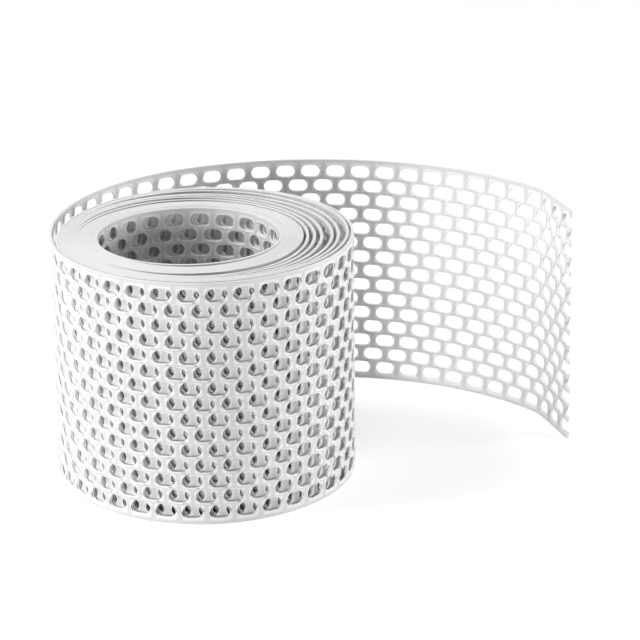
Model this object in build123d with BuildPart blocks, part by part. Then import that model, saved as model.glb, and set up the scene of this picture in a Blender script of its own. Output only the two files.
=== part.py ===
from build123d import *
import math
import os

# Eaves vent bird guard strip: one length of perforated rigid PVC strip, wound into
# a roll that stands on its end, with its free end sweeping round behind the roll.
# Sizes are in millimetres. Z is up and the roll's bore is centred on the origin.

# Strip stock
strip_width = 100.0
strip_thickness = 1.2
slot_length = 8.0
slot_width = 5.0
slot_pitch = 10.9
row_pitch = 6.4
edge_band = 2.5

# Wound roll: tight turns next to the bore, then turns that have sprung loose on one side
bore_radius = 36.0
tight_turns = 8
turn_pitch = 1.27
loose_turns = 7
loose_gap = 2.1
turn_seam = 0.15

# Free end, followed from the roll to the cut: three arcs and a flat
lead_radius = 93.0
lead_turn = 83.0
back_radius = 122.0
back_turn = 75.0
curl_radius = 35.0
flat_length = 25.0
cut_to_slot = 3.0
clear_of_roll = 1.5

# Radius of the turns that lie pressed together all the way round
tight_radius = bore_radius + tight_turns * turn_pitch


def pressed_side(turn):
    """Distance from the bore's axis to a loose turn's outer face, where turns touch."""
    return tight_radius + turn * turn_pitch


def sprung_side(turn):
    """The same distance on the other side, where the turns stand apart."""
    return tight_radius + turn * (strip_thickness + loose_gap)


def circle_between(pressed, sprung):
    """Centre and radius of the circle that spans the roll between its two sides."""
    return (sprung - pressed) / 2, (sprung + pressed) / 2


roll_centre, roll_radius = circle_between(pressed_side(loose_turns), sprung_side(loose_turns))

# Smooth path of the free end's outer face, from the roll's pressed side to the cut,
# and on past the cut, because the strip is cut through a column of slots
curl_turn = 180.0 - lead_turn - back_turn
with BuildLine() as smooth_path:
    lead = JernArc((-pressed_side(loose_turns), 0), (0, 1), lead_radius, -lead_turn)
    back = JernArc(lead @ 1, lead % 1, back_radius, -back_turn)
    curl = JernArc(back @ 1, back % 1, curl_radius, -curl_turn)
    flat = Line(curl @ 1, curl @ 1 + (curl % 1) * flat_length)
    Line(flat @ 1, flat @ 1 + (flat % 1) * slot_pitch)
path = smooth_path.wire()
free_length = path.length - slot_pitch

# Rows of slots, as heights from the strip's middle: as many as leave a solid band along
# each edge. Full columns hold every other row from the outermost, and the columns set
# between them hold the rest.
row_count = math.floor((strip_width - slot_width - 2 * edge_band) / row_pitch) + 1
row_heights = [(row - (row_count - 1) / 2) * row_pitch for row in range(row_count)]
full_rows = row_heights[0::2]
between_rows = row_heights[1::2]
stagger = slot_pitch / 2

# Slots stop where the free end runs into the roll
stand_off = strip_thickness + clear_of_roll
hidden_length = math.sqrt(2 * stand_off / (1 / roll_radius - 1 / lead_radius))


def path_point(mark):
    """The point on the path at this distance from the roll."""
    return path.position_at(mark, position_mode=PositionMode.LENGTH)


def column_marks(cut_distance):
    """Distances from the roll of every other column of slots, nearest the cut first."""
    columns = math.ceil((free_length - cut_distance - hidden_length) / slot_pitch)
    return [free_length - cut_distance - column * slot_pitch for column in range(columns)]


def column_plane(mark):
    """A plane on the outer face, square to the strip, with X towards the cut."""
    before, after = path_point(mark - stagger), path_point(mark + stagger)
    heading = (after - before).normalized()
    middle = (before + after) / 2 + Vector(0, 0, strip_width / 2)
    return Plane(middle, x_dir=heading, z_dir=heading.rotate(Axis.Z, 90))


full_marks = column_marks(cut_to_slot)
between_marks = column_marks(cut_to_slot - stagger)

# The round stretches are drawn with a straight chord across each full column
folds = [path_point(mark) for mark in between_marks if mark < free_length - flat_length]

# Two whole columns on the flat have true round ends, for screws; in the others three
# flats stand for each round end
pierce = strip_thickness + clear_of_roll / 2
with BuildSketch() as round_slot:
    SlotOverall(slot_length, slot_width)
with BuildSketch() as plain_slot:
    Rectangle(slot_length, slot_width)
    chamfer(plain_slot.vertices(), slot_width * (1 - math.sqrt(0.5)))


def column_cutter(rows, slot):
    """One column of slots, as solids that pierce the strip."""
    with BuildPart() as cutter:
        with BuildSketch():
            with Locations(*[(0, height) for height in rows]):
                add(slot)
        extrude(amount=pierce, both=True)
    return cutter.part


full_cutter = column_cutter(full_rows, plain_slot.sketch)
between_cutter = column_cutter(between_rows, plain_slot.sketch)
screw_cutter = column_cutter(between_rows, round_slot.sketch)
screw_marks = between_marks[1:3]
plain_between_marks = between_marks[:1] + between_marks[3:]

with BuildPart() as vent_strip:
    # Plan of the free end and the wound roll in one piece
    with BuildSketch():
        with BuildLine():
            RadiusArc(lead @ 0, folds[-1], lead_radius)
            Polyline(*reversed(folds))
            Line(folds[0], flat @ 0)
            Line(flat @ 0, flat @ 1)
            offset(amount=strip_thickness, side=Side.RIGHT, kind=Kind.INTERSECTION)
        make_face()
        with Locations((roll_centre, 0)):
            Circle(roll_radius)
        # Crescent gaps between the loose turns, from the outermost inwards
        for turn in reversed(range(loose_turns)):
            gap_centre, gap_radius = circle_between(
                pressed_side(turn) - turn_seam, sprung_side(turn) + loose_gap
            )
            turn_centre, turn_radius = circle_between(pressed_side(turn), sprung_side(turn))
            with Locations((gap_centre, 0)):
                Circle(gap_radius, mode=Mode.SUBTRACT)
            with Locations((turn_centre, 0)):
                Circle(turn_radius)
        Circle(bore_radius, mode=Mode.SUBTRACT)
    extrude(amount=strip_width)
    # Perforation of the free end
    with Locations(*[column_plane(mark) for mark in full_marks]):
        add(full_cutter, mode=Mode.SUBTRACT)
    with Locations(*[column_plane(mark) for mark in plain_between_marks]):
        add(between_cutter, mode=Mode.SUBTRACT)
    with Locations(*[column_plane(mark) for mark in screw_marks]):
        add(screw_cutter, mode=Mode.SUBTRACT)
vent_strip.part.label = "vent_strip"

os.makedirs("parts", exist_ok=True)
export_step(vent_strip.part, "parts/vent_strip.step")
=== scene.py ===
# %% [markdown]
# Eaves vent bird guard strip, a lesson in winding a perforated sheet
#
# The real object is a strip of white rigid PVC, 100 mm wide, with slots punched through
# it in staggered rows. It is sold wound up, and here it stands on its end with its free
# end sprung open. The CAD part gives the frame: the size of the roll, the bore and the
# free end. This script dresses it, and changes none of its sizes.
#
# Everything below is one idea in three steps: draw the sheet flat, where a slot is easy to
# draw, find the curve that the sheet follows, and then lay the flat sheet on that curve.

# %% Load the CAD part
import math

import bpy
import numpy as np
from mathutils import Matrix, Vector


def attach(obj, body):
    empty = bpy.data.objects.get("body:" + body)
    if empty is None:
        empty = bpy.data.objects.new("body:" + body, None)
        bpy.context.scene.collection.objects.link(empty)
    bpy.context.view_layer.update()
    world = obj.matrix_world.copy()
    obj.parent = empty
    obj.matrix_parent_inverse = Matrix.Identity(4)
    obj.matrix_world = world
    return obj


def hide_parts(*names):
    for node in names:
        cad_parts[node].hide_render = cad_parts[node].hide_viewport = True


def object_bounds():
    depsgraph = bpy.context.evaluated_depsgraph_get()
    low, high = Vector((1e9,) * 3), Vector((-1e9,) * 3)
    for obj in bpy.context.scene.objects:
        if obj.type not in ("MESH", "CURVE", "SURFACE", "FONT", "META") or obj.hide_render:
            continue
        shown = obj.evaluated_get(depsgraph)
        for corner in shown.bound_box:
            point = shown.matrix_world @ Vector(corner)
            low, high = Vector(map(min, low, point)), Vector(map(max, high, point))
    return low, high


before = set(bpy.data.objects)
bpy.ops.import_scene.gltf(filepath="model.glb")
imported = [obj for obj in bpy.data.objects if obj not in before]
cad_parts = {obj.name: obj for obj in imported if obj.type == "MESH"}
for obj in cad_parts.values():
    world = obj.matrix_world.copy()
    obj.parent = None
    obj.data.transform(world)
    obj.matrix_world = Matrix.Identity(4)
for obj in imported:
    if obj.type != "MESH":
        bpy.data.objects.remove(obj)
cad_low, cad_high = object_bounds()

print("CAD nodes:", sorted(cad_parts))
print("CAD box in mm:", [round(1000 * v, 1) for v in (*cad_low, *cad_high)])

# %% [markdown]
# Sizes of the strip
#
# A punched strip is described by few numbers: its width and thickness, the slot, and the
# two pitches at which the punch repeats. Blender works in metres, so each size is
# written in millimetres times MM. Rows are staggered like bricks: every second row is
# moved by half a pitch. The strip is cut 3 mm before the middle of a slot, so its ends
# have open notches. The 440 columns are what the roll and the free end hold together.

# %% Strip sizes
MM = 0.001
STRIP_WIDTH = 100.0 * MM
THICKNESS = 1.2 * MM
SLOT_LENGTH = 8.0 * MM
SLOT_WIDTH = 5.0 * MM
SLOT_PITCH = 10.9 * MM
ROW_PITCH = 6.4 * MM
ROWS = 15
CUT_TO_SLOT = 3.0 * MM
PUNCHED_COLUMNS = 440
STRIP_LENGTH = 2 * CUT_TO_SLOT + PUNCHED_COLUMNS * SLOT_PITCH
print(f"strip: {STRIP_LENGTH:.3f} m long, {ROWS} rows of slots")

# %% [markdown]
# How the roll lies
#
# A roll could be drawn as rings, but a real one is a single spiral: each turn lies on the
# one before it. So the radius here is worked out turn by turn, as the radius one turn
# earlier, plus the thickness, plus the gap between the two. The first turn has nothing
# inside it, so it simply grows until the second one rests on it. Hard PVC springs, so on
# one side the turns stand apart. Each opening is a smooth bump in that gap: which turn it
# lies under, where it is widest, how far it spreads, and how wide it is. Places are in
# turns, counted from the side of the roll where the free end leaves.

# %% Openings between the turns
BORE_RADIUS = 36.0 * MM
TURNS = 15
FIRST_TURN_STARTS = 0.3
PRESSED_GAP = 0.0019 * MM
OPENINGS = [
    # turn, widest at, spread, width
    (1, 0.76, 0.20, 2.16 * MM),
    (2, 0.32, 0.22, 0.38 * MM),
    (3, 0.32, 0.22, 0.68 * MM),
    (8, 0.25, 0.20, 2.08 * MM),
    (8, 0.44, 0.20, 1.45 * MM),
    (8, 0.73, 0.24, 3.18 * MM),
    (9, 0.27, 0.21, 2.53 * MM),
    (9, 0.53, 0.22, 1.48 * MM),
    (9, 0.69, 0.18, 0.61 * MM),
    (10, 0.43, 0.30, 1.99 * MM),
    (10, 0.66, 0.18, 1.13 * MM),
    (11, 0.50, 0.27, 3.19 * MM),
    (12, 0.34, 0.23, 3.89 * MM),
    (12, 0.57, 0.16, 1.32 * MM),
    (13, 0.45, 0.24, 3.67 * MM),
    (13, 0.80, 0.25, 0.25 * MM),
    (14, 0.20, 0.15, 0.49 * MM),
    (14, 0.40, 0.20, 0.10 * MM),
    (14, 0.57, 0.19, 0.71 * MM),
    (14, 0.78, 0.30, 0.95 * MM),
]
STEPS_PER_TURN = 720


def gap_under(turn_place):
    """Gap between each place of the spiral and the turn inside it."""
    gap = np.full_like(turn_place, PRESSED_GAP)
    for turn, widest, spread, width in OPENINGS:
        away = np.clip((turn_place - turn - widest) / spread, -1, 1)
        gap += width * 0.5 * (1 + np.cos(math.pi * away))
    return gap


def wound_line():
    """Outer face of the wound turns, from the bore outwards, as plan points."""
    count = round((TURNS - FIRST_TURN_STARTS) * STEPS_PER_TURN) + 1
    place = FIRST_TURN_STARTS + np.arange(count) / STEPS_PER_TURN
    gap = gap_under(place)
    radius = np.zeros(count)
    turned = place[:STEPS_PER_TURN] - FIRST_TURN_STARTS
    growth = turned * (THICKNESS + gap[STEPS_PER_TURN])
    radius[:STEPS_PER_TURN] = BORE_RADIUS + THICKNESS + growth
    for step in range(STEPS_PER_TURN, count):
        radius[step] = radius[step - STEPS_PER_TURN] + THICKNESS + gap[step]
    angle = math.pi - 2 * math.pi * place
    return np.column_stack([radius * np.cos(angle), radius * np.sin(angle)])


wound = wound_line()
print("roll reaches, in mm:", np.round(wound.min(0) / MM, 1), np.round(wound.max(0) / MM, 1))

# %% [markdown]
# How the free end lies
#
# Past the roll the strip sweeps round in three arcs and a short flat, the same ones that
# the CAD part has. A heading and a radius are enough to walk along an arc, so the line is
# laid one stretch after another, each starting where the last one stopped, and heading
# the same way. That keeps it smooth without any control points.

# %% Free end line
FREE_STRETCHES = [
    # radius, degrees turned
    (93.0 * MM, 83.0),
    (122.0 * MM, 75.0),
    (35.0 * MM, 22.0),
]
FLAT_LENGTH = 25.0 * MM
LINE_STEP = 0.5 * MM


def free_line(start):
    """Outer face of the free end, from the roll to the cut, as plan points."""
    points, here, heading = [np.array(start)], np.array(start), math.pi / 2
    for radius, turn in FREE_STRETCHES:
        centre = here + radius * np.array([math.sin(heading), -math.cos(heading)])
        steps = math.ceil(radius * math.radians(turn) / LINE_STEP)
        for step in range(1, steps + 1):
            now = heading - math.radians(turn) * step / steps
            points.append(centre + radius * np.array([-math.sin(now), math.cos(now)]))
        here, heading = points[-1], heading - math.radians(turn)
    along = np.array([math.cos(heading), math.sin(heading)])
    points.append(here + FLAT_LENGTH * along)
    return np.array(points)


free = free_line(wound[-1])
line = np.vstack([wound, free[1:]])[::-1]
line_length = np.concatenate([[0], np.cumsum(np.linalg.norm(np.diff(line, axis=0), axis=1))])
print(f"line: {line_length[-1]:.3f} m for {STRIP_LENGTH:.3f} m of strip")
print("cut edge at, in mm:", np.round(line[0] / MM, 2))

# %% [markdown]
# Laying the flat sheet on the line
#
# A flat point has a distance from the cut, a depth into the strip and a height. Walking
# that distance along the line gives the place, and a quarter turn from the line's
# heading gives the direction of the depth. The heading is measured over a millimetre each
# way, which smooths the small steps of the line. The same two directions turn a flat
# normal into a bent one, so the shading is as smooth as the real sheet.

# %% Bend helper
HEADING_SPAN = 1.0 * MM


def bend(flat_points):
    """The bent points, and at each the plan directions along the strip and out of it."""
    along, depth, height = flat_points.T
    plan = np.column_stack([np.interp(along, line_length, line[:, axis]) for axis in (0, 1)])
    ahead = [np.interp(along + HEADING_SPAN, line_length, line[:, axis]) for axis in (0, 1)]
    behind = [np.interp(along - HEADING_SPAN, line_length, line[:, axis]) for axis in (0, 1)]
    heading = np.column_stack([a - b for a, b in zip(ahead, behind)])
    heading /= np.linalg.norm(heading, axis=1)[:, None]
    outward = np.column_stack([heading[:, 1], -heading[:, 0]])
    place = plan - outward * depth[:, None]
    return np.column_stack([place, height]), heading, outward


cut_corner = bend(np.array([[0.0, THICKNESS, STRIP_WIDTH]]))[0][0]
print("inner top corner of the cut, in mm:", np.round(cut_corner / MM, 2))

# %% [markdown]
# One brick of the sheet
#
# The sheet is cut into bricks, one for each slot. A brick is a rectangle round an obround
# hole. Each long side has a middle point too, which meets the corners of the staggered
# rows above and below, so bricks weld together with no gaps. Along the strip's own edges
# there are more points, to follow the curve closely.
#
# Each hole has a rim: the face stops a little short of the wall and a narrow bevel joins
# the two. Real punched edges are rounded like that, and it is what makes them catch the
# light. So each outline point is kept as a row of seven numbers: where it lies on the
# face, where it lies on the wall, which way the wall looks there, and what kind it is.

# %% Brick outlines
RIM = 0.4 * MM
EDGE_RIM = 0.15 * MM
FINE_STEPS, MIDDLE_STEPS, PLAIN_STEPS = 10, 8, 7
SIDE_POINTS, EDGE_POINTS = 3, 5
NEAR_CUT = 0.1 * MM
ALONG, HEIGHT, WALL_ALONG, WALL_HEIGHT, LOOK_ALONG, LOOK_HEIGHT, KIND = range(7)
INSIDE, AT_EDGE, AT_SLOT = 0, 1, 2


def arc_points(centre, radius, start, end, steps):
    """Points on an arc about a centre on the brick's middle line, with angles in degrees."""
    angles = np.radians(np.linspace(start, end, steps + 1))
    return np.column_stack([centre + radius * np.cos(angles), radius * np.sin(angles)])


def slot_outline(steps, wider, cut):
    """Slot outline, anticlockwise. Where a cut crosses it, it runs from cut to cut."""
    end, radius = (SLOT_LENGTH - SLOT_WIDTH) / 2, SLOT_WIDTH / 2 + wider
    if cut is None:
        right = arc_points(end, radius, -90, 90, steps)
        return np.vstack([right, arc_points(-end, radius, 90, 270, steps)])
    if cut > 0:
        opening = math.degrees(math.acos((cut - end) / radius))
        return arc_points(end, radius, -opening, opening, steps)
    opening = math.degrees(math.acos((cut + end) / radius))
    above_cut = arc_points(-end, radius, 90, opening, steps // 3)
    right = arc_points(end, radius, -90, 90, steps)
    return np.vstack([above_cut[::-1] * (1, -1), right, above_cut])


def slot_points(steps, wider, cut):
    """Rows of the points round a slot, with the face this much wider than the wall."""
    face = slot_outline(steps, wider, cut)
    wall = slot_outline(steps, 0.0, cut)
    look = wall - slot_outline(steps, RIM, cut)
    look /= np.linalg.norm(look, axis=1)[:, None]
    return np.column_stack([face, wall, look, np.full(len(wall), AT_SLOT)])


def side_points(side, at_edge, cut):
    """Rows of the points on a brick's long side: 1 is the upper and -1 the lower."""
    to_edge = STRIP_WIDTH / 2 - (ROWS - 1) / 2 * ROW_PITCH
    along = np.linspace(-1, 1, EDGE_POINTS if at_edge else SIDE_POINTS) * SLOT_PITCH / 2
    if cut is not None:
        along = np.concatenate([[cut], along[along > cut + NEAR_CUT]])
    height = side * (to_edge - EDGE_RIM if at_edge else ROW_PITCH / 2)
    rows = np.zeros((len(along), KIND + 1))
    rows[:, ALONG] = rows[:, WALL_ALONG] = along
    rows[:, HEIGHT] = height
    rows[:, WALL_HEIGHT] = side * to_edge if at_edge else height
    rows[:, LOOK_HEIGHT] = side * at_edge
    rows[:, KIND] = AT_EDGE if at_edge else INSIDE
    return rows[::-side]


print("points round a slot:", len(slot_points(FINE_STEPS, RIM, None)))

# %% [markdown]
# Joining a brick's sides to its slot
#
# The ring of side points and the slot are both walked anticlockwise, and each triangle
# takes whichever next point has the smaller angle. This is the usual way to fill between
# two rings, and it needs no points in between. A brick that the cut runs through is open
# on its left, so there both walks start and stop at the cut.

# %% Flat brick
ANGLE_SLACK = 1e-6
FULL_TURN = 2 * math.pi


def angles_round(points, start):
    """Angles of points about the slot's middle, growing from just past the start angle."""
    angles = np.unwrap(np.arctan2(points[:, HEIGHT], points[:, ALONG]))
    return angles + FULL_TURN * math.ceil((start - angles[0] - ANGLE_SLACK) / FULL_TURN)


def flat_brick(above, below, steps, wider, cut=None):
    """Points and triangles of one brick, cut short on its left where a cut is given."""
    ring = np.vstack([side_points(-1, below, cut), side_points(1, above, cut)])
    slot = slot_points(steps, wider, cut)
    if cut is None:
        start = math.atan2(ring[0, HEIGHT], ring[0, ALONG])
        past = (np.arctan2(slot[:, HEIGHT], slot[:, ALONG]) - start) % FULL_TURN
        slot = np.roll(slot, -int(np.argmin(past)), axis=0)
        ring_angles = np.append(angles_round(ring, start), start + FULL_TURN)
        slot_angles = angles_round(slot, start)
        slot_angles = np.append(slot_angles, slot_angles[0] + FULL_TURN)
    else:
        ring_angles = np.unwrap(np.arctan2(ring[:, HEIGHT], ring[:, ALONG]))
        slot_angles = np.unwrap(np.arctan2(slot[:, HEIGHT], slot[:, ALONG]))
    ring_last, slot_last = len(ring_angles) - 1, len(slot_angles) - 1
    faces, i, j = [], 0, 0
    while i < ring_last or j < slot_last:
        at_ring, at_slot = i % len(ring), len(ring) + j % len(slot)
        if j == slot_last or (i < ring_last and ring_angles[i + 1] <= slot_angles[j + 1]):
            i += 1
            faces.append((at_ring, i % len(ring), at_slot))
        else:
            j += 1
            faces.append((at_ring, len(ring) + j % len(slot), at_slot))
    return np.vstack([ring, slot]), np.array(faces)


print("triangles of a brick's face:", len(flat_brick(False, False, FINE_STEPS, RIM)[1]))

# %% [markdown]
# A stretch of the sheet
#
# One mesh with every slot of the strip would be slow to select and to edit, so the strip
# is made in stretches, each some columns of bricks long. Bricks that touch share their
# points: places that agree to a thousandth of a millimetre become one. The two ends of
# the strip are cut through a column, which leaves the open notches that such strip has
# wherever it is cut to length. The far end is the near end's brick, mirrored.

# %% Flat stretch
WELD_STEP = 0.001 * MM


def flat_stretch(first, last, steps, wider):
    """Flat points and triangles of the columns from first up to last."""
    points, faces, count = [], [], 0

    def lay(brick, columns, height, mirrored=False):
        nonlocal count
        rows, triangles = brick[0].copy(), brick[1]
        if mirrored:
            rows[:, [ALONG, WALL_ALONG, LOOK_ALONG]] *= -1
            triangles = triangles[:, ::-1]
        for column in columns:
            moved = rows.copy()
            moved[:, [ALONG, WALL_ALONG]] += CUT_TO_SLOT + column * SLOT_PITCH
            moved[:, [HEIGHT, WALL_HEIGHT]] += height
            points.append(moved)
            faces.append(triangles + count)
            count += len(rows)

    for row in range(ROWS):
        edges = (row == ROWS - 1, row == 0)
        height = STRIP_WIDTH / 2 + (row - (ROWS - 1) / 2) * ROW_PITCH
        stagger = row % 2 / 2
        cut_brick = flat_brick(*edges, steps, wider, SLOT_PITCH * stagger - CUT_TO_SLOT)
        columns = [column + stagger for column in range(first, last)]
        whole_columns = [column for column in columns if 0 < column < PUNCHED_COLUMNS]
        lay(flat_brick(*edges, steps, wider), whole_columns, height)
        if first == 0:
            lay(cut_brick, [-stagger], height)
        if last > PUNCHED_COLUMNS:
            lay(cut_brick, [PUNCHED_COLUMNS + stagger], height, mirrored=True)
    points, faces = np.vstack(points), np.vstack(faces)
    grid = np.round(points[:, [ALONG, HEIGHT]] / WELD_STEP).astype(np.int64)
    _, kept, place = np.unique(grid, axis=0, return_index=True, return_inverse=True)
    return points[kept], place.reshape(-1)[faces]


sample, sample_faces = flat_stretch(0, 4, FINE_STEPS, RIM)
print(f"four columns: {len(sample)} points, {len(sample_faces)} triangles on each face")

# %% [markdown]
# Giving the sheet its thickness
#
# The flat points are laid down four times: the outer face, the wall's outer edge, its
# inner edge, and the inner face. Every triangle edge with no neighbour is a border, of a
# slot, of the strip or of the stretch. Along a slot or the strip's edge the border gets
# three narrow bands: bevel, wall, bevel, or one plain band where there is no rim. A cut
# gets one plain wall, with a small face at each end where it meets the bevels. Each
# corner of each face has its own flat normal, so a bevel shades from the face to the
# wall and looks rounded.

# %% Thick stretch
OUT, IN = (0.0, -1.0, 0.0), (0.0, 1.0, 0.0)
OUTER_FACE, OUTER_WALL, INNER_WALL, INNER_FACE = range(4)


def thick_stretch(points, faces, wider):
    """Points, triangles, quads, the normals of their corners, and the points' rim marks."""
    count = len(points)
    kind = points[:, KIND].astype(int)
    rim_size = np.choose(kind, [0.0, EDGE_RIM, wider])

    def laid(along, height, depth):
        return np.column_stack([points[:, along], depth + np.zeros(count), points[:, height]])

    levels = [
        laid(ALONG, HEIGHT, 0.0),
        laid(WALL_ALONG, WALL_HEIGHT, rim_size),
        laid(WALL_ALONG, WALL_HEIGHT, THICKNESS - rim_size),
        laid(ALONG, HEIGHT, THICKNESS),
    ]
    look = laid(LOOK_ALONG, LOOK_HEIGHT, 0.0)
    out, inward = np.tile(OUT, (count, 1)), np.tile(IN, (count, 1))

    edges = np.vstack([faces[:, [0, 1]], faces[:, [1, 2]], faces[:, [2, 0]]])
    code, back = edges[:, 0] * count + edges[:, 1], edges[:, 1] * count + edges[:, 0]
    border = edges[~np.isin(code, back)]
    a, b = border.T
    finished = (kind[a] == kind[b]) & (kind[a] != INSIDE)
    rounded = finished & (rim_size[a] > 0)
    quads, quad_normals = [], []

    def band(a, b, top, bottom, top_look, bottom_look):
        """Quads between two levels, along the border edges that run from a to b."""
        corners = [a + top * count, a + bottom * count, b + bottom * count, b + top * count]
        looks = [top_look[a], bottom_look[a], bottom_look[b], top_look[b]]
        quads.append(np.column_stack(corners))
        quad_normals.append(np.stack(looks, 1))

    round_a, round_b = border[rounded].T
    band(round_a, round_b, OUTER_FACE, OUTER_WALL, out, look)
    band(round_a, round_b, OUTER_WALL, INNER_WALL, look, look)
    band(round_a, round_b, INNER_WALL, INNER_FACE, look, inward)
    band(*border[finished & ~rounded].T, OUTER_FACE, INNER_FACE, look, look)
    cut_a, cut_b = border[~finished].T
    run = points[cut_b, :2] - points[cut_a, :2]
    run /= np.linalg.norm(run, axis=1)[:, None]
    plain = np.column_stack([run[:, 1], np.zeros(len(run)), -run[:, 0]])
    deep = INNER_FACE * count
    quads.append(np.column_stack([cut_a, cut_a + deep, cut_b + deep, cut_b]))
    quad_normals.append(np.repeat(plain[:, None], 4, 1))
    for near, far, order in (
        (cut_b, round_a, (OUTER_FACE, INNER_FACE, INNER_WALL, OUTER_WALL)),
        (cut_a, round_b, (OUTER_WALL, INNER_WALL, INNER_FACE, OUTER_FACE)),
    ):
        ends = np.isin(near, far)
        quads.append(np.column_stack([near[ends] + level * count for level in order]))
        quad_normals.append(np.repeat(plain[ends][:, None], 4, 1))

    triangles = np.vstack([faces, faces[:, ::-1] + deep])
    face_normals = [np.tile(normal, (len(faces), 3, 1)) for normal in (OUT, IN)]
    at_slot = (kind == AT_SLOT).astype(float)
    marks = np.concatenate([at_slot, np.ones(2 * count), at_slot])
    return (
        np.vstack(levels),
        triangles,
        np.vstack(quads),
        np.vstack(face_normals),
        np.vstack(quad_normals),
        marks,
    )


thick_sample = thick_stretch(sample, sample_faces, RIM)
print(f"with its thickness: {len(thick_sample[1])} triangles, {len(thick_sample[2])} quads")

# %% [markdown]
# From a flat stretch to a Blender mesh
#
# Large meshes are quick to make when their numbers go in as whole arrays with
# foreach_set. The flat place of each corner is kept as a UV map in metres, so a material
# can lay extrusion lines along the strip however it is wound, and the rim marks are
# kept as an attribute, so a material can paint the strip whiter towards a punched edge,
# part stress white and part painted highlight.

# %% Mesh helper
RIM_HIGHLIGHT_MASK = "punched_rim_highlight"
# Mask of the punched rims, read by the materials to paint a highlight round each slot.
FLAT_MAP = "flat_place"
TRIANGLE, QUAD = 3, 4


def strip_piece(name, first, last, steps, wider):
    """One stretch of the wound strip as a Blender object."""
    flat, triangles, quads, triangle_normals, quad_normals, marks = thick_stretch(
        *flat_stretch(first, last, steps, wider), wider
    )
    corners = np.concatenate([triangles.ravel(), quads.ravel()])
    used, corners = np.unique(corners, return_inverse=True)
    flat, marks = flat[used], marks[used]
    placed, heading, outward = bend(flat)

    mesh = bpy.data.meshes.new(name)
    mesh.vertices.add(len(placed))
    mesh.vertices.foreach_set("co", placed.ravel())
    mesh.loops.add(len(corners))
    mesh.loops.foreach_set("vertex_index", corners.astype(np.int32))
    sizes = np.repeat([TRIANGLE, QUAD], [len(triangles), len(quads)])
    starts = np.concatenate([[0], np.cumsum(sizes)[:-1]])
    mesh.polygons.add(len(sizes))
    mesh.polygons.foreach_set("loop_start", starts.astype(np.int32))
    mesh.polygons.foreach_set("use_smooth", np.ones(len(sizes), bool))
    mesh.update(calc_edges=True)
    flat_map = mesh.uv_layers.new(name=FLAT_MAP)
    flat_map.uv.foreach_set("vector", flat[corners][:, [0, 2]].ravel())
    rim_marks = mesh.attributes.new(RIM_HIGHLIGHT_MASK, "FLOAT", "POINT")
    rim_marks.data.foreach_set("value", marks)
    normals = np.vstack([triangle_normals.reshape(-1, 3), quad_normals.reshape(-1, 3)])
    plan_normals = normals[:, :1] * heading[corners] - normals[:, 1:2] * outward[corners]
    bent = np.column_stack([plan_normals, normals[:, 2]])
    mesh.normals_split_custom_set(bent.tolist())

    piece = bpy.data.objects.new(name, mesh)
    bpy.context.scene.collection.objects.link(piece)
    print(f"{name}: {len(triangles) + 2 * len(quads)} triangles")
    return piece


print("kept on each mesh:", FLAT_MAP, "and", RIM_HIGHLIGHT_MASK)

# %% [markdown]
# The pieces of the strip
#
# The strip is one length of stock, so its pieces are only stretches of one sheet, named
# by where they lie in the roll. What is seen close up gets rounder slots and bevelled
# rims. The turns in between are seen only through other slots and from above, so plain
# rims and fewer points serve there.

# %% Strip pieces
FINE, MIDDLE, PLAIN = (FINE_STEPS, RIM), (MIDDLE_STEPS, RIM), (PLAIN_STEPS, 0.0)
STRETCHES = [
    # name, from this turn outwards, up to this turn, detail
    ("free_end", TURNS, None, FINE),
    ("outer_turn", TURNS - 1, TURNS, FINE),
    ("loose_turns_outer", TURNS - 4, TURNS - 1, PLAIN),
    ("loose_turns_inner", TURNS - 7, TURNS - 4, PLAIN),
    ("tight_turns_outer", TURNS - 10, TURNS - 7, PLAIN),
    ("tight_turns_inner", 1.5, TURNS - 10, PLAIN),
    ("bore_turn", None, 1.5, MIDDLE),
]


def column_at(turn, at_end):
    """The column of slots nearest to a place in the roll, counted from the free end's cut."""
    if turn is None:
        return at_end
    place = len(line) - 1 - round((turn - FIRST_TURN_STARTS) * STEPS_PER_TURN)
    return round((line_length[place] - CUT_TO_SLOT) / SLOT_PITCH)


pieces = []
for name, inner, outer, (slot_steps, slot_rim) in STRETCHES:
    first, last = column_at(outer, 0), column_at(inner, PUNCHED_COLUMNS + 1)
    pieces.append(strip_piece("vent_strip_" + name, first, last, slot_steps, slot_rim))
print("pieces of the strip:", len(pieces))

# %% [markdown]
# Small effects that the two finishes share
#
# Extruded PVC sheet is never quite even. The die leaves faint lines along the strip, and
# the compound is a little cloudy. Each effect is a node group with its own inputs, so a
# material can use it at its own strength. These three helpers keep the making of nodes
# short: one starts a group, one adds a node, and one adds a calculation.

# %% Node group helpers


def new_group(name, inputs, outputs):
    """A shader node group with float inputs and typed outputs, and its two end nodes."""
    group = bpy.data.node_groups.new(name, "ShaderNodeTree")
    for label, value in inputs.items():
        socket = group.interface.new_socket(label, in_out="INPUT", socket_type="NodeSocketFloat")
        socket.default_value = value
    for label, kind in outputs.items():
        group.interface.new_socket(label, in_out="OUTPUT", socket_type=kind)
    return group, group.nodes.new("NodeGroupInput"), group.nodes.new("NodeGroupOutput")


def add_node(tree, kind, **settings):
    """A new node of a kind, with its properties set."""
    node = tree.nodes.new(kind)
    for key, value in settings.items():
        setattr(node, key, value)
    return node


def math_node(tree, operation, first, second):
    """The result of a Math node of two values, each a socket or a number."""
    node = add_node(tree, "ShaderNodeMath", operation=operation)
    for socket, value in zip(node.inputs, (first, second)):
        if isinstance(value, (int, float)):
            socket.default_value = value
        else:
            tree.links.new(value, socket)
    return node.outputs["Value"]


print("helpers:", [helper.__name__ for helper in (new_group, add_node, math_node)])

# %% [markdown]
# Extrusion lines
#
# Noise looks like lines when it is stretched far more one way than the other. It is read
# at the flat place here, slowly along the strip and fast across it, so the lines follow
# the strip round every turn.

# %% Extrusion lines group


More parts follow.
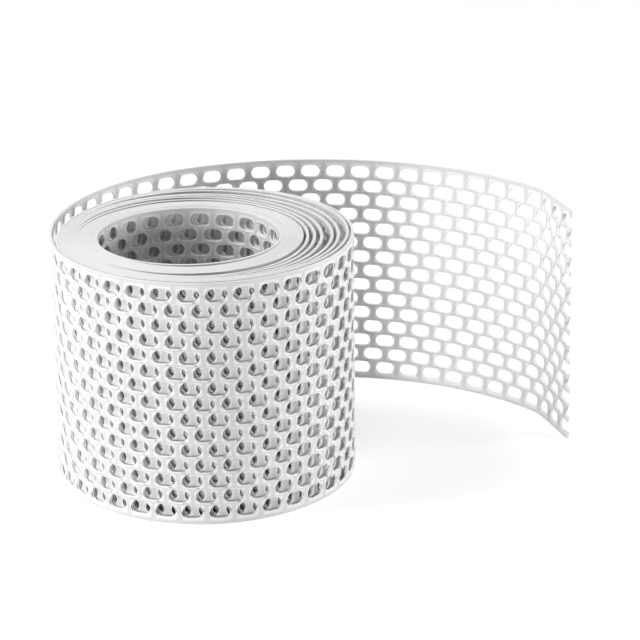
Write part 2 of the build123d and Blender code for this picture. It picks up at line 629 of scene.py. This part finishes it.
def extrusion_lines():
    """Faint lines along the strip, from the die that the sheet came out of."""
    group, given, made = new_group(
        "extrusion_lines",
        {"Lines per Metre": 900.0, "Drift per Metre": 6.0, "Strength": 1.0},
        {"Height": "NodeSocketFloat"},
    )
    place = add_node(group, "ShaderNodeUVMap", uv_map=FLAT_MAP)
    split = add_node(group, "ShaderNodeSeparateXYZ")
    joined = add_node(group, "ShaderNodeCombineXYZ")
    noise = add_node(group, "ShaderNodeTexNoise")
    noise.inputs["Scale"].default_value = 1.0
    noise.inputs["Detail"].default_value = 3.0
    group.links.new(place.outputs["UV"], split.inputs["Vector"])
    along = math_node(group, "MULTIPLY", split.outputs["X"], given.outputs["Drift per Metre"])
    across = math_node(group, "MULTIPLY", split.outputs["Y"], given.outputs["Lines per Metre"])
    group.links.new(along, joined.inputs["X"])
    group.links.new(across, joined.inputs["Y"])
    group.links.new(joined.outputs["Vector"], noise.inputs["Vector"])
    height = math_node(group, "MULTIPLY", noise.outputs["Fac"], given.outputs["Strength"])
    group.links.new(height, made.inputs["Height"])
    return group


lines_group = extrusion_lines()
print("group:", lines_group.name)

# %% [markdown]
# Cloudy compound
#
# The tone of the plastic itself goes right through it, so this one is read in space and
# not on the flat sheet: clouds about two centimetres across, and a fine grain on top.

# %% Cloudy compound group


def cloudy_compound():
    """Slow changes of tone through the plastic, and a fine grain on top of them."""
    group, given, made = new_group(
        "cloudy_compound",
        {"Cloud per Metre": 45.0, "Grain per Metre": 2600.0, "Grain Share": 0.25},
        {"Mask": "NodeSocketFloat"},
    )
    place = add_node(group, "ShaderNodeTexCoord")
    cloud = add_node(group, "ShaderNodeTexNoise")
    cloud.inputs["Detail"].default_value = 2.0
    grain = add_node(group, "ShaderNodeTexNoise")
    grain.inputs["Detail"].default_value = 1.0
    for noise, label in ((cloud, "Cloud per Metre"), (grain, "Grain per Metre")):
        group.links.new(place.outputs["Object"], noise.inputs["Vector"])
        group.links.new(given.outputs[label], noise.inputs["Scale"])
    mix = add_node(group, "ShaderNodeMix", data_type="FLOAT")
    group.links.new(given.outputs["Grain Share"], mix.inputs["Factor"])
    group.links.new(cloud.outputs["Fac"], mix.inputs["A"])
    group.links.new(grain.outputs["Fac"], mix.inputs["B"])
    group.links.new(mix.outputs["Result"], made.inputs["Mask"])
    return group


cloud_group = cloudy_compound()
print("group:", cloud_group.name)

# %% [markdown]
# The two finishes of one plastic, and a painted highlight at the rims
#
# The rolled face of white rigid PVC is a soft, slightly grey white. Where a punch or a
# blade went through, the plastic was stretched until it turned whiter, and the edge it
# leaves is a little shinier. The punched finish is painted much whiter than the face, so
# it is part stress white and part painted highlight on the bright rims. Both are one
# Principled BSDF each. The tone varies through a colour ramp between two whites, and the
# height goes through a Bump node, so no surface is one flat colour. The painted white
# does not stop at the edge: the rim marks let it fade out across the web round each
# slot, as a painted highlight round every slot.

# %% PVC materials
# Stress white and painted highlight: the tone that walls, bevels and the web round each slot are
# painted towards, so the punched rims look bright.
STRESS_WHITE_AND_PAINTED_HIGHLIGHT = (0.93, 0.93, 0.93)
WHITENING_AND_HIGHLIGHT_RANGE = (0.35, 0.9)
CLOUD_RANGE = (0.35, 0.65)
PVC_IOR = 1.53


def pvc(name, darker, lighter, roughness, sheen, line_depth):
    """White rigid PVC: two tones, the range of its roughness, its sheen and its lines."""
    material = bpy.data.materials.new(name)
    material.use_nodes = True
    tree = material.node_tree
    surface = tree.nodes["Principled BSDF"]
    cloud = add_node(tree, "ShaderNodeGroup", node_tree=cloud_group)
    lines = add_node(tree, "ShaderNodeGroup", node_tree=lines_group)
    # Painted highlight, part stress white: the rim marks lift the tone towards white round each
    # slot.
    stress_and_highlight_mask = add_node(tree, "ShaderNodeAttribute", attribute_name=RIM_HIGHLIGHT_MASK)
    whitening_and_highlight = add_node(tree, "ShaderNodeMapRange", interpolation_type="SMOOTHSTEP")
    for label, value in zip(("From Min", "From Max"), WHITENING_AND_HIGHLIGHT_RANGE):
        whitening_and_highlight.inputs[label].default_value = value
    whitened_and_highlit = add_node(tree, "ShaderNodeMix", data_type="RGBA")
    whitened_and_highlit.inputs["B"].default_value = (*STRESS_WHITE_AND_PAINTED_HIGHLIGHT, 1)
    tone = add_node(tree, "ShaderNodeValToRGB")
    stops = tone.color_ramp.elements
    for stop, position, colour in zip(stops, CLOUD_RANGE, (darker, lighter)):
        stop.position, stop.color = position, (*colour, 1)
    rough = add_node(tree, "ShaderNodeMapRange")
    for label, value in zip(("To Min", "To Max"), roughness):
        rough.inputs[label].default_value = value
    bump = add_node(tree, "ShaderNodeBump")
    bump.inputs["Distance"].default_value = line_depth
    surface.inputs["Specular IOR Level"].default_value = sheen
    surface.inputs["IOR"].default_value = PVC_IOR
    tree.links.new(cloud.outputs["Mask"], tone.inputs["Fac"])
    tree.links.new(stress_and_highlight_mask.outputs["Fac"], whitening_and_highlight.inputs["Value"])
    tree.links.new(whitening_and_highlight.outputs["Result"], whitened_and_highlit.inputs["Factor"])
    tree.links.new(tone.outputs["Color"], whitened_and_highlit.inputs["A"])
    tree.links.new(whitened_and_highlit.outputs["Result"], surface.inputs["Base Color"])
    tree.links.new(cloud.outputs["Mask"], rough.inputs["Value"])
    tree.links.new(rough.outputs["Result"], surface.inputs["Roughness"])
    tree.links.new(lines.outputs["Height"], bump.inputs["Height"])
    tree.links.new(bump.outputs["Normal"], surface.inputs["Normal"])
    return material


rolled = pvc(
    "rolled_pvc",
    darker=(0.70, 0.705, 0.71),
    lighter=(0.76, 0.765, 0.77),
    roughness=(0.38, 0.52),
    sheen=0.5,
    line_depth=0.03 * MM,
)
# The punched finish, much whiter than the rolled face: part stress white, part painted highlight.
punched = pvc(
    "punched_pvc_painted_highlight",
    darker=(0.92, 0.92, 0.92),
    lighter=(0.95, 0.95, 0.95),
    roughness=(0.3, 0.45),
    sheen=0.6,
    line_depth=0.01 * MM,
)
print("finishes:", rolled.name, punched.name)

# %% [markdown]
# Dressing the pieces
#
# The two faces of the sheet are triangles, and every wall, bevel and cut is a quad, so
# the number of a face's corners tells which finish it has. Each piece then rides on the
# root body and gets both finishes, and the CAD strip that it stands in for is hidden.

# %% Dress the pieces
for piece in pieces:
    mesh = piece.data
    mesh.materials.append(rolled)
    mesh.materials.append(punched)
    corner_counts = np.zeros(len(mesh.polygons), np.int32)
    mesh.polygons.foreach_get("loop_total", corner_counts)
    # Walls, bevels and cuts take the whiter punched finish, part of which is a painted highlight.
    mesh.polygons.foreach_set("material_index", (corner_counts == QUAD).astype(np.int32))
    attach(piece, "root")
    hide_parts("vent_strip")
print(len(pieces), "pieces dressed")

# %% [markdown]
# Floor and backdrop
#
# A catalogue photo has a pure white ground, yet the object still needs its shadow. The
# floor is a matte sheet that also glows where the camera, a reflection or a clear thing
# shows it: where nothing shades it, glow and light together reach white, and under the
# roll they fall short of it. Soft light sees only the matte sheet, and that is a light
# grey, so that it throws little light up at the foot of the roll.

# %% Floor
FLOOR_SIZE = 12.0
FLOOR_GLOW = 0.6
FLOOR_DROP = 0.05 * MM
PAPER_TONES = (0.69, 0.71)
PAPER_SCALE = 3.0


def seen_directly(tree):
    """One for rays from the camera, from a mirror or through something clear, else zero."""
    rays = add_node(tree, "ShaderNodeLightPath").outputs
    mirrored = math_node(tree, "MAXIMUM", rays["Is Camera Ray"], rays["Is Glossy Ray"])
    return math_node(tree, "MAXIMUM", mirrored, rays["Is Transmission Ray"])


def white_floor():
    """A matte sheet that glows only where it is seen directly."""
    material = bpy.data.materials.new("paper_floor")
    material.use_nodes = True
    tree = material.node_tree
    surface = tree.nodes["Principled BSDF"]
    surface.inputs["Roughness"].default_value = 1.0
    surface.inputs["Specular IOR Level"].default_value = 0.0
    surface.inputs["Emission Color"].default_value = (1, 1, 1, 1)
    paper = add_node(tree, "ShaderNodeTexNoise")
    paper.inputs["Scale"].default_value = PAPER_SCALE
    tone = add_node(tree, "ShaderNodeValToRGB")
    for stop, grey in zip(tone.color_ramp.elements, PAPER_TONES):
        stop.color = (grey, grey, grey, 1)
    glow = math_node(tree, "MULTIPLY", seen_directly(tree), FLOOR_GLOW)
    tree.links.new(paper.outputs["Fac"], tone.inputs["Fac"])
    tree.links.new(tone.outputs["Color"], surface.inputs["Base Color"])
    tree.links.new(glow, surface.inputs["Emission Strength"])
    return material


half = FLOOR_SIZE / 2
floor_corners = [(-half, -half, 0), (half, -half, 0), (half, half, 0), (-half, half, 0)]
floor_mesh = bpy.data.meshes.new("floor")
floor_mesh.from_pydata(floor_corners, [], [(0, 1, 2, 3)])
floor_mesh.materials.append(white_floor())
floor = bpy.data.objects.new("floor", floor_mesh)
floor.location.z = cad_low.z - FLOOR_DROP
bpy.context.scene.collection.objects.link(floor)
print("floor at", floor.location.z)

# %% [markdown]
# World
#
# The room is white where it is seen directly, which gives the white background and the
# bright reflections of a photo studio. As a light it is much weaker and comes from above
# only: it grows from nothing at the horizon to its full strength overhead, so the insides
# of the slots stay dark.

# %% World
HORIZON, ZENITH = 0.0, 0.29


def white_world(horizon, zenith):
    """White where it is seen directly, and for everything else a light that grows upwards."""
    world = bpy.data.worlds.new("white_room")
    world.use_nodes = True
    tree = world.node_tree
    lit = tree.nodes["Background"]
    lit.inputs["Color"].default_value = (1, 1, 1, 1)
    direction = add_node(tree, "ShaderNodeTexCoord")
    split = add_node(tree, "ShaderNodeSeparateXYZ")
    height = add_node(tree, "ShaderNodeMapRange")
    height.inputs["To Min"].default_value, height.inputs["To Max"].default_value = horizon, zenith
    tree.links.new(direction.outputs["Generated"], split.inputs["Vector"])
    tree.links.new(split.outputs["Z"], height.inputs["Value"])
    tree.links.new(height.outputs["Result"], lit.inputs["Strength"])
    white = add_node(tree, "ShaderNodeBackground")
    white.inputs["Color"].default_value = (1, 1, 1, 1)
    white.inputs["Strength"].default_value = 1.0
    mix = add_node(tree, "ShaderNodeMixShader")
    tree.links.new(seen_directly(tree), mix.inputs["Fac"])
    tree.links.new(lit.outputs["Background"], mix.inputs[1])
    tree.links.new(white.outputs["Background"], mix.inputs[2])
    tree.links.new(mix.outputs["Shader"], tree.nodes["World Output"].inputs["Surface"])
    return world


bpy.context.scene.world = white_world(HORIZON, ZENITH)
print("room light, from horizon to zenith:", HORIZON, "to", ZENITH)

# %% [markdown]
# Lamps
#
# The photo is lit mostly from the left and above, so the left of the roll is nearly white
# and the front falls off to a light grey. A low lamp at the right lifts the roll's right
# edge again, and a low one near the camera opens up the front. Large lamps give soft
# shading, which suits a matte white thing. The powers were found by rendering each lamp
# alone and seeking the sum that comes nearest to the tones of the photo.

# %% Lamps
AIM = Vector((30 * MM, 10 * MM, 50 * MM))
LAMPS = [
    # name, azimuth, elevation, distance, size, power
    ("high_left_lamp", -100, 50, 1.5, 0.6, 11.4),
    ("left_lamp", -105, 22, 1.3, 0.5, 6.4),
    ("right_lamp", 80, 9, 1.3, 0.4, 12.2),
    ("low_front_lamp", -28, 4, 1.3, 0.35, 7.1),
]


def lamp(name, azimuth, elevation, distance, size, power):
    """A square area lamp aimed at the object. Azimuth 0 is straight in front, along -Y."""
    a, e = math.radians(azimuth), math.radians(elevation)
    away = Vector((math.sin(a) * math.cos(e), -math.cos(a) * math.cos(e), math.sin(e)))
    data = bpy.data.lights.new(name, "AREA")
    data.shape, data.size, data.energy = "SQUARE", size, power
    holder = bpy.data.objects.new(name, data)
    holder.location = AIM + away * distance
    holder.rotation_mode = "QUATERNION"
    holder.rotation_quaternion = (-away).to_track_quat("-Z", "Y")
    bpy.context.scene.collection.objects.link(holder)


for settings in LAMPS:
    lamp(*settings)

# %% [markdown]
# Camera
#
# The camera's place was worked out from the slots, which repeat at known pitches: it
# stands well back with a long lens, and looks down at about nineteen degrees.

# %% Camera
CAMERA_PLACE = Vector((-331.4, -1188.6, 493.8)) * MM
CAMERA_AZIMUTH = -18.0
CAMERA_DOWN = 19.24
CAMERA_ROLL = -0.57
SENSOR = 36.0
FOCAL_PIXELS = 3225.0
PHOTO_PIXELS = 640.0

view = bpy.data.cameras.new("photo_camera")
view.sensor_width = SENSOR
view.lens = FOCAL_PIXELS * SENSOR / PHOTO_PIXELS
view.clip_start, view.clip_end = 0.05, 50.0
camera = bpy.data.objects.new("photo_camera", view)
turn = Matrix.Rotation(math.radians(CAMERA_AZIMUTH), 3, "Z")
tilt = Matrix.Rotation(math.radians(90 - CAMERA_DOWN), 3, "X")
roll = Matrix.Rotation(math.radians(CAMERA_ROLL), 3, "Z")
camera.matrix_world = Matrix.Translation(CAMERA_PLACE) @ (turn @ tilt @ roll).to_4x4()
bpy.context.scene.collection.objects.link(camera)
bpy.context.scene.camera = camera
bpy.context.scene.view_settings.view_transform = "Standard"
print(f"lens {view.lens:.1f} mm")
